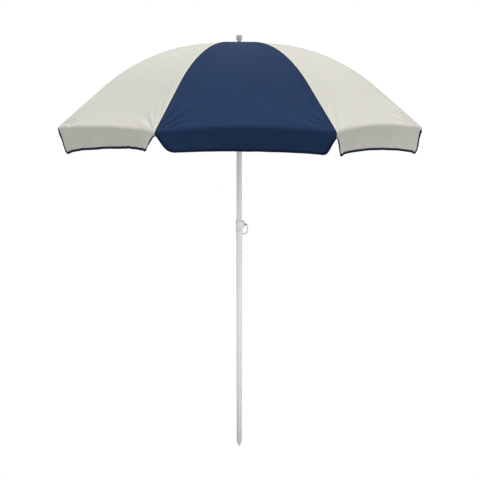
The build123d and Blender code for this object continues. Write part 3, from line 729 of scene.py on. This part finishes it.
def valance_rows(panel, side, rib, colour, t, rim, lean_in):
    """Rows from the rim to the lower edge, filled in between the rim, the middle line and the free edge."""
    outline = free_outline(panel, side, colour)
    top = outline[0, 1]
    corner_low = hem_z(panel, side * (RIM_V - 0.04))
    turn = int(np.argmax(outline[:, 1] < top + CORNER_TURN * (corner_low - top)))
    tip = np.array([[rim[-1, 1], rim[-1, 2]]])
    edge = np.concatenate([tip, outline[:turn + 1]])
    high = max(1, int(np.argmax(edge[:, 1] < rim[-1, 2] - HIGH_DEPTH)))
    if top < rim[-1, 2] - HIGH_DEPTH * 0.9:
        high = 1
    low_rows = DROP_ROWS - HIGH_ROWS
    first = along_path(edge[:high + 1], np.linspace(0, 1, HIGH_ROWS + 1))
    right = np.concatenate([first, along_path(edge[high:], np.linspace(0, 1, low_rows + 1))[1:]])
    left_z = np.array([rim[0, 2], outline[-1, 1]])
    part = HIGH_DEPTH / (left_z[0] - left_z[1])
    k = np.concatenate([np.linspace(0, part, HIGH_ROWS + 1), np.linspace(part, 1, low_rows + 1)[1:]])
    bottom = along_path(outline[turn:], 1 - t)
    upper = rim[:, 1:]
    left = np.stack([np.zeros_like(k), left_z[0] + (left_z[1] - left_z[0]) * k], -1)
    kk, tt = k[:, None, None], t[None, :, None]
    sheet = (1 - kk) * upper[None] + kk * bottom[None] + (1 - tt) * left[:, None] + tt * right[:, None]
    left_line = (1 - kk) * upper[0] + kk * bottom[0]
    right_line = (1 - kk) * upper[-1] + kk * bottom[-1]
    sheet = sheet - (1 - tt) * left_line - tt * right_line
    v, z = sheet[..., 0], sheet[..., 1]
    k, t = k[:, None], t[None, :]
    grow = k ** 1.3
    out = -lean_in * k * (1 - 0.5 * t ** 2)
    calm = 1 - 0.6 * ease(t, 0.8, 1.0)
    out = out + grow * WAVE_DEPTH * smooth_noise(side * v * 15 + 40 * panel, k * 0.8, 900 + panel) * calm
    out = out + grow * RIPPLE_DEPTH * smooth_noise(side * v * 34 + 7 * panel, k * 1.6, 950 + panel)
    from_rib = rim[-1, 1] - v
    pinch = np.exp(-(from_rib / 0.030)) * (1 - k)
    out = out + PINCH_DEPTH * pinch * np.sin(from_rib * 260 + rib) * np.minimum(1.0, k * 6)
    curl = CURL_DEPTH * side * ((panel % 3) - 1) * ease(t, 0.7, 1.0) * k ** 2
    u = rim[None, :, 0] + out + curl
    return np.stack([u, v, z], -1)


# %% [markdown]
# ## From grid to cloth
# The grid becomes a mesh with three maps in metres: one for the weave, one that measures from the rim
# and one that measures from the rib, so that stitch rows can follow both seams. A Solidify modifier gives
# the sheet its half millimetre. Each half rides on its rib.

# %% Build the panels
CLOTH_T = 0.0005


def rib_angle(rib):
    return radians(22.5 + 45 * (rib - 1))


def to_world(points, panel, side):
    """From a panel's frame, with v towards the rib on that side, to the row frame."""
    a = radians(45 * panel)
    u, v = points[..., 0], points[..., 1] * side
    return np.stack([u * cos(a) - v * sin(a), u * sin(a) + v * cos(a), points[..., 2]], -1)


def add_map(mesh, name, values):
    layer = mesh.uv_layers.new(name=name)
    index = np.empty(len(mesh.loops), np.int32)
    mesh.loops.foreach_get("vertex_index", index)
    layer.data.foreach_set("uv", values[index].astype(np.float32).ravel())


def grid_faces(rows, cols, flip):
    made = []
    for i in range(rows - 1):
        for j in range(cols - 1):
            a, b = i * cols + j, i * cols + j + 1
            c, d = a + cols, b + cols
            made.append((a, b, d, c) if flip else (a, c, d, b))
    return made


def pleat(piece):
    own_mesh(piece)


def lengths(points):
    """Distance down every column from the first row, and over every row from the first column."""
    rows, cols = points.shape[:2]
    down = np.cumsum(np.linalg.norm(np.diff(points, axis=0), axis=2), axis=0)
    over = np.cumsum(np.linalg.norm(np.diff(points, axis=1), axis=2), axis=1)
    down = np.concatenate([np.zeros((1, cols)), down])
    over = np.concatenate([np.zeros((rows, 1)), over], axis=1)
    return down, over


PANEL_GRIDS = {}
half_panels = []
for rib in range(1, PANELS + 1):
    for side in (1, -1):
        # the panel before this rib lies on its side +1, the panel after it on side -1
        panel = rib - 1 if side == 1 else rib % PANELS
        colour = "navy" if panel % 2 == 0 else "beige"
        node = f"canopy_{colour}_{rib}"
        grid, rim_row = half_panel_grid(panel, side, rib, colour)
        world_grid = to_world(grid, panel, side)
        rows, cols = grid.shape[:2]
        faces = grid_faces(rows, cols, side == 1)
        cloth = mesh_object(f"cloth_{colour}_{rib}", world_grid.reshape(-1, 3), faces)
        down, over = lengths(grid)
        add_map(cloth.data, "cloth", np.stack([over * side + panel, down], -1).reshape(-1, 2))
        from_rim = down - down[rim_row + 2][None, :]
        add_map(cloth.data, "rim", np.stack([over, from_rim], -1).reshape(-1, 2))
        add_map(cloth.data, "rib", np.stack([down, over[:, -1:] - over], -1).reshape(-1, 2))
        cloth.data.materials.append(NAVY if colour == "navy" else BEIGE)
        thick = cloth.modifiers.new("thickness", "SOLIDIFY")
        thick.thickness = CLOTH_T
        thick.offset = 0.0
        thick.use_rim = False
        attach(cloth, f"rib_{rib}")
        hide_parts(node)
        pleat(cloth)
        PANEL_GRIDS[(rib, side)] = (world_grid, panel, colour, rim_row)
        half_panels.append((cloth, grid, rib, side))
print("half panels", len(half_panels), "points each", world_grid.shape[0] * world_grid.shape[1])

# %% [markdown]
# ## Binding tape
# Every free edge of the valance is bound: a narrow dark tape is folded over the raw edge and sewn through.
# It is built by carrying a small hairpin-shaped section along the edge, from the top of the notch, down
# the side and along the lower edge to the panel's middle.

# %% Binding along a valance's free edge
TAPE_WIDE = 0.0080
TAPE_THICK = 0.0010
# the hairpin, in widths into the cloth and thicknesses away from it
TAPE_SECTION = [(1.0, 1.0), (0.5, 1.1), (0.05, 1.0), (-0.16, 0.0), (0.05, -1.0), (0.5, -1.1), (1.0, -1.0)]
RAY_FROM, RAY_REACH = 0.012, 0.03


def free_edge(grid, drop):
    """The edge's points, and for each a direction into the cloth."""
    rows = grid.shape[0]
    first = rows - (DROP_ROWS - HIGH_ROWS) - 1
    if drop < HIGH_DEPTH * 0.9:
        first -= FOLD_ROWS // 2
    points, inward = [], []
    for i in range(first, rows - 1):
        points.append(grid[i, -1])
        inward.append(grid[i, -5] - grid[i, -1])
    for j in range(grid.shape[1] - 1, -1, -1):
        points.append(grid[-1, j])
        inward.append(grid[-4, j] - grid[-1, j])
    return np.array(points), np.array(inward)


def pair_up(down, over):
    """A map for a strip: one value per row, the other per point across."""
    return np.stack(np.broadcast_arrays(down[:, None], over[None, :]), -1).reshape(-1, 2)


def build_binding(rib, side):
    grid, panel, colour, rim_row = PANEL_GRIDS[(rib, side)]
    points, inward = free_edge(grid, corner_of(panel, side, colour)[0])
    along = np.gradient(points, axis=0)
    along /= np.linalg.norm(along, axis=1)[:, None]
    inward = inward - along * (inward * along).sum(1)[:, None]
    # the inward direction turns the corner smoothly
    for _ in range(6):
        inward[1:-1] = (inward[:-2] + 2 * inward[1:-1] + inward[2:]) / 4
        inward = inward - along * (inward * along).sum(1)[:, None]
    inward /= np.linalg.norm(inward, axis=1)[:, None]
    normal = np.cross(along, inward)
    normal /= np.linalg.norm(normal, axis=1)[:, None]
    # each point of the tape is laid on the cloth itself, so that it follows the waves
    hanging = grid[rim_row:]
    corners = [tuple(q) for q in hanging.reshape(-1, 3)]
    surface = BVHTree.FromPolygons(corners, grid_faces(*hanging.shape[:2], False))
    outward = np.array([cos(radians(45 * panel)), sin(radians(45 * panel)), 0.0])
    ring = []
    for a, b in TAPE_SECTION:
        flat = points + inward * a * TAPE_WIDE
        if a > 0.2:
            for i, q in enumerate(flat):
                hit = surface.ray_cast(Vector(q + outward * RAY_FROM), Vector(-outward), RAY_REACH)[0]
                if hit is not None:
                    flat[i] = hit
        ring.append(flat + normal * b * TAPE_THICK)
    verts = np.stack(ring, 1)
    count, wide = verts.shape[:2]
    tape = mesh_object(f"binding_{colour}_{rib}", verts.reshape(-1, 3), grid_faces(count, wide, True))
    run = run_length(points)
    spread = np.array([a * TAPE_WIDE for a, _ in TAPE_SECTION])
    add_map(tape.data, "cloth", pair_up(run + rib, spread))
    tape.data.materials.append(BINDING)
    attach(tape, f"rib_{rib}")
    pleat(tape)
    return run[-1]


tape_lengths = [build_binding(rib, side) for rib, side in PANEL_GRIDS]
print("binding on 16 half panels,", round(sum(tape_lengths), 2), "m in all")

# %% [markdown]
# ## Seam piping
# Where a navy and a beige panel meet over a rib, the beige seam allowance is folded under and shows as a
# raised cord on the beige side. A round bead follows the cloth a few millimetres from the rib's line; its
# colour, paler than the beige cloth, is a painted highlight along the cord.

# %% Piping beside each rib seam
BEAD = 0.0017
BEAD_AWAY, BEAD_LIFT = 0.0022, 0.0005


def tube_along(name, points, radius, sides=8):
    """A tube with closed ends along a path."""
    points = np.asarray(points, float)
    along = np.gradient(points, axis=0)
    along /= np.linalg.norm(along, axis=1)[:, None]
    up = np.array([0.0, 0.0, 1.0]) if abs(along[0, 2]) < 0.9 else np.array([1.0, 0.0, 0.0])
    rings = []
    for p, d in zip(points, along):
        up = up - d * np.dot(up, d)
        up /= np.linalg.norm(up)
        left = np.cross(d, up)
        turns = np.arange(sides) * 2 * pi / sides
        rings.append(p + radius * (np.cos(turns)[:, None] * left + np.sin(turns)[:, None] * up))
    verts = np.concatenate(rings)
    faces = []
    for i in range(len(points) - 1):
        for k in range(sides):
            a, b = i * sides + k, i * sides + (k + 1) % sides
            faces.append((a, b, b + sides, a + sides))
    faces.append(tuple(range(sides - 1, -1, -1)))
    faces.append(tuple(range(len(verts) - sides, len(verts))))
    made = mesh_object(name, verts, faces)
    spread = np.arange(sides) * radius * 2 * pi / sides
    add_map(made.data, "cloth", pair_up(run_length(points), spread))
    return made


piped = 0
for (rib, side), (grid, panel, colour, rim_row) in PANEL_GRIDS.items():
    if colour != "beige":
        continue
    line = grid[2:rim_row + FOLD_ROWS - 1]
    toward = line[:, -4] - line[:, -1]
    toward /= np.linalg.norm(toward, axis=1)[:, None]
    bead_line = line[:, -1] + toward * BEAD_AWAY + np.array([0, 0, BEAD_LIFT])
    bead = tube_along(f"piping_{rib}", bead_line, BEAD)
    bead.data.materials.append(PIPING_PAINTED_HIGHLIGHT)
    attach(bead, f"rib_{rib}")
    piped += 1
print("piping on", piped, "seams")

# %% [markdown]
# ## Under the cloth
# A round patch backs the crown where sixteen seam ends meet, and on each rib two loops of thread tie the
# cloth to the rod. The patch stays with the mast and every tie rides on its rib.

# %% Crown patch
PATCH_HOLE, PATCH_R = 0.0047, 0.028
PATCH_GAP = 0.0013
PATCH_SIDES = 64
turns = np.arange(PATCH_SIDES) * 2 * pi / PATCH_SIDES
rings = np.linspace(PATCH_HOLE, PATCH_R, 8)
patch_points = []
for r in rings:
    wave = 0.0003 * smooth_noise(turns * 3, r * 90, 71)
    patch_z = fabric_z(r) - PATCH_GAP - np.abs(wave)
    patch_points.append(np.stack([r * np.cos(turns), r * np.sin(turns), patch_z], -1))
patch_faces = []
for i in range(len(rings) - 1):
    for k in range(PATCH_SIDES):
        a, b = i * PATCH_SIDES + k, i * PATCH_SIDES + (k + 1) % PATCH_SIDES
        patch_faces.append((a, b, b + PATCH_SIDES, a + PATCH_SIDES))
patch = mesh_object("crown_patch", np.concatenate(patch_points), patch_faces)
flat_place = np.concatenate([p[:, :2] for p in patch_points])
for name in ("cloth", "rim", "rib"):
    add_map(patch.data, name, flat_place + 0.1)
patch.data.materials.append(NAVY)
patch_thick = patch.modifiers.new("thickness", "SOLIDIFY")
patch_thick.thickness = CLOTH_T
patch_thick.offset = -1.0
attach(patch, "mast")
print("crown patch", len(patch.data.polygons), "faces")

# %% Rib ties
TIE_AT = (0.40, 0.60)
ROD_BELOW = 0.0048
TIE_HIGH, TIE_WIDE, THREAD_R = 0.0040, 0.0025, 0.0004


def tie_loop(rib, r):
    """A loop of thread round the rod and through the cloth, square to the rib."""
    a = rib_angle(rib)
    slope = float(fabric_z(r + 0.001) - fabric_z(r - 0.001)) / 0.002
    down = np.array([cos(a) * slope, sin(a) * slope, -1.0]) / sqrt(1 + slope ** 2)
    over = np.array([-sin(a), cos(a), 0.0])
    middle = np.array([r * cos(a), r * sin(a), float(fabric_z(r))]) + down * ROD_BELOW * 0.66
    turn = np.linspace(0, 2 * pi, 25)
    return middle + TIE_HIGH * np.cos(turn)[:, None] * down + TIE_WIDE * np.sin(turn)[:, None] * over


for rib in range(1, PANELS + 1):
    for number, r in enumerate(TIE_AT, 1):
        tie = tube_along(f"tie_{rib}_{number}", tie_loop(rib, r), THREAD_R, sides=6)
        tie.data.materials.append(PIPING_PAINTED_HIGHLIGHT)
        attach(tie, f"rib_{rib}")
print(PANELS * len(TIE_AT), "ties")

# %% [markdown]
# ## What the cloth is cut from
# The flat sizes of the half panels are measured over the finished grids, down the columns and over the rows.

for cloth, grid, rib, side in half_panels:
    down, over = lengths(grid)

# %% [markdown]
# ## Finishes for the frame's own parts
# Poles and ribs are steel under white powder coat, the collar, runner and caps are moulded plastic, the
# screw is blackened steel and its bent handle has a dipped plastic coat. Each finish uses the shared
# handling group for dust and scratches, with its own roughness and grain.

# %% Hard finishes
DUST = (0.52, 0.47, 0.38)
DUST_HEIGHT = 0.12


def hard_material(
    name, colour, worn, roughness, metallic=0.0, coat=0.0, grain=900.0, grain_depth=0.00004, scuffs=0.5
):
    """Painted, plated or moulded: a base colour with clouds, scratches down to the worn colour, and dust."""
    material = bpy.data.materials.new(name)
    material.use_nodes = True
    tree, link = material.node_tree, material.node_tree.links.new
    shader = tree.nodes["Principled BSDF"]
    shader.inputs["Metallic"].default_value = metallic
    shader.inputs["Coat Weight"].default_value = coat
    shader.inputs["Coat Roughness"].default_value = 0.25
    where = tree.nodes.new("ShaderNodeTexCoord").outputs["Object"]
    handling = place_group(material, HANDLING, Dust_Height=DUST_HEIGHT, Scuffs=scuffs)
    link(where, handling.inputs["Place"])
    deep = tuple(c * 0.965 for c in colour)
    base = blend_colour(material, handling.outputs["Cloud"], deep, colour)
    base = blend_colour(material, handling.outputs["Scratch"], base, worn)
    thin_dust = math_node(tree, "MULTIPLY", handling.outputs["Dust"], 0.45)
    base = blend_colour(material, thin_dust, base, DUST)
    link(base, shader.inputs["Base Color"])
    rough = math_node(tree, "MULTIPLY_ADD", handling.outputs["Cloud"], 0.06, roughness - 0.03)
    rough = math_node(tree, "MULTIPLY_ADD", handling.outputs["Dust"], 0.3, rough, clamp=True)
    link(rough, shader.inputs["Roughness"])
    fine = noise_node(tree, where, grain, 2.0)
    scratch_depth = math_node(tree, "MULTIPLY", handling.outputs["Scratch"], 0.8)
    relief = math_node(tree, "SUBTRACT", fine, scratch_depth)
    link(bump(material, relief, 0.35, grain_depth), shader.inputs["Normal"])
    return material


POWDER = hard_material(
    "powder_white", (0.91, 0.905, 0.905), (0.55, 0.56, 0.57), 0.36, coat=0.15, grain=420.0
)
MOULDED = hard_material(
    "moulded_white", (0.95, 0.95, 0.95), (0.80, 0.80, 0.80), 0.48, grain=1400.0, grain_depth=0.00006
)
MOULDED_GREY = hard_material(
    "moulded_grey", (0.52, 0.53, 0.54), (0.62, 0.62, 0.62), 0.5, grain=1400.0
)
CAP = hard_material(
    "cap_plastic", (0.70, 0.71, 0.72), (0.8, 0.8, 0.8), 0.5, grain=1400.0
)
BLACKED = hard_material(
    "blacked_steel", (0.045, 0.045, 0.05), (0.35, 0.34, 0.33), 0.42, metallic=0.8, grain=2000.0, scuffs=0.9
)
ZINC = hard_material(
    "zinc_steel", (0.60, 0.61, 0.62), (0.75, 0.75, 0.75), 0.35, metallic=1.0, grain=1500.0
)
DIPPED = hard_material(
    "dipped_white", (0.84, 0.84, 0.84), (0.7, 0.7, 0.7), 0.3, coat=0.3, grain=160.0, grain_depth=0.0001
)
print("hard finishes:", POWDER.name, MOULDED.name, CAP.name, BLACKED.name, ZINC.name, DIPPED.name)

# %% Give each frame part its finish
FINISH = {
    "lower_tube": POWDER, "upper_tube": POWDER, "ground_spike": MOULDED, "height_collar": MOULDED,
    "runner": MOULDED, "crown_hub": MOULDED_GREY, "mast_plug": MOULDED_GREY, "crown_cap": CAP,
    "crown_washer": MOULDED, "locking_screw": BLACKED, "screw_hook": DIPPED, "screw_nut": ZINC,
    "hub_wire": ZINC, "runner_catch": ZINC, "collar_rivet_front": ZINC, "collar_rivet_back": ZINC,
}
dressed = 0
for name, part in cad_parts.items():
    if name.startswith("canopy_"):
        continue
    if name.startswith("rib_tip"):
        finish = MOULDED
    else:
        finish = FINISH.get(name, POWDER)
    part.data.materials.clear()
    part.data.materials.append(finish)
    dressed += 1
print("finishes on", dressed, "frame parts")

# %% [markdown]
# ## Lock nut on the screw
# A hexagonal nut sits on the screw between the collar's lug and the bent handle. Rings of six corners are
# enough for it: the outer rings stand in a little, which gives the nut its chamfer. It turns with the screw.

# %% Lock nut
NUT_FROM, NUT_TO, NUT_R = 0.0256, 0.0312, 0.0056
NUT_CHAMFER, NUT_BORE = 0.0006, 0.0037
SCREW_HEIGHT = 1.154
nut_profile = [
    (NUT_FROM, NUT_R * 0.9),
    (NUT_FROM + NUT_CHAMFER, NUT_R),
    (NUT_TO - NUT_CHAMFER, NUT_R),
    (NUT_TO, NUT_R * 0.9),
    (NUT_TO, NUT_BORE),
]
nut_rings = []
for x, r in nut_profile:
    for k in range(6):
        a = radians(60 * k + 30)
        nut_rings.append((x, r * cos(a), SCREW_HEIGHT + r * sin(a)))
nut_faces = [tuple(range(5, -1, -1))]
for i in range(len(nut_profile) - 1):
    for k in range(6):
        a, b = i * 6 + k, i * 6 + (k + 1) % 6
        nut_faces.append((a, b, b + 6, a + 6))
lock_nut = mesh_object("lock_nut", nut_rings, nut_faces, smooth=False)
lock_nut.data.materials.append(BLACKED)
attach(lock_nut, "hook_screw")
print("lock nut", len(lock_nut.data.polygons), "faces")
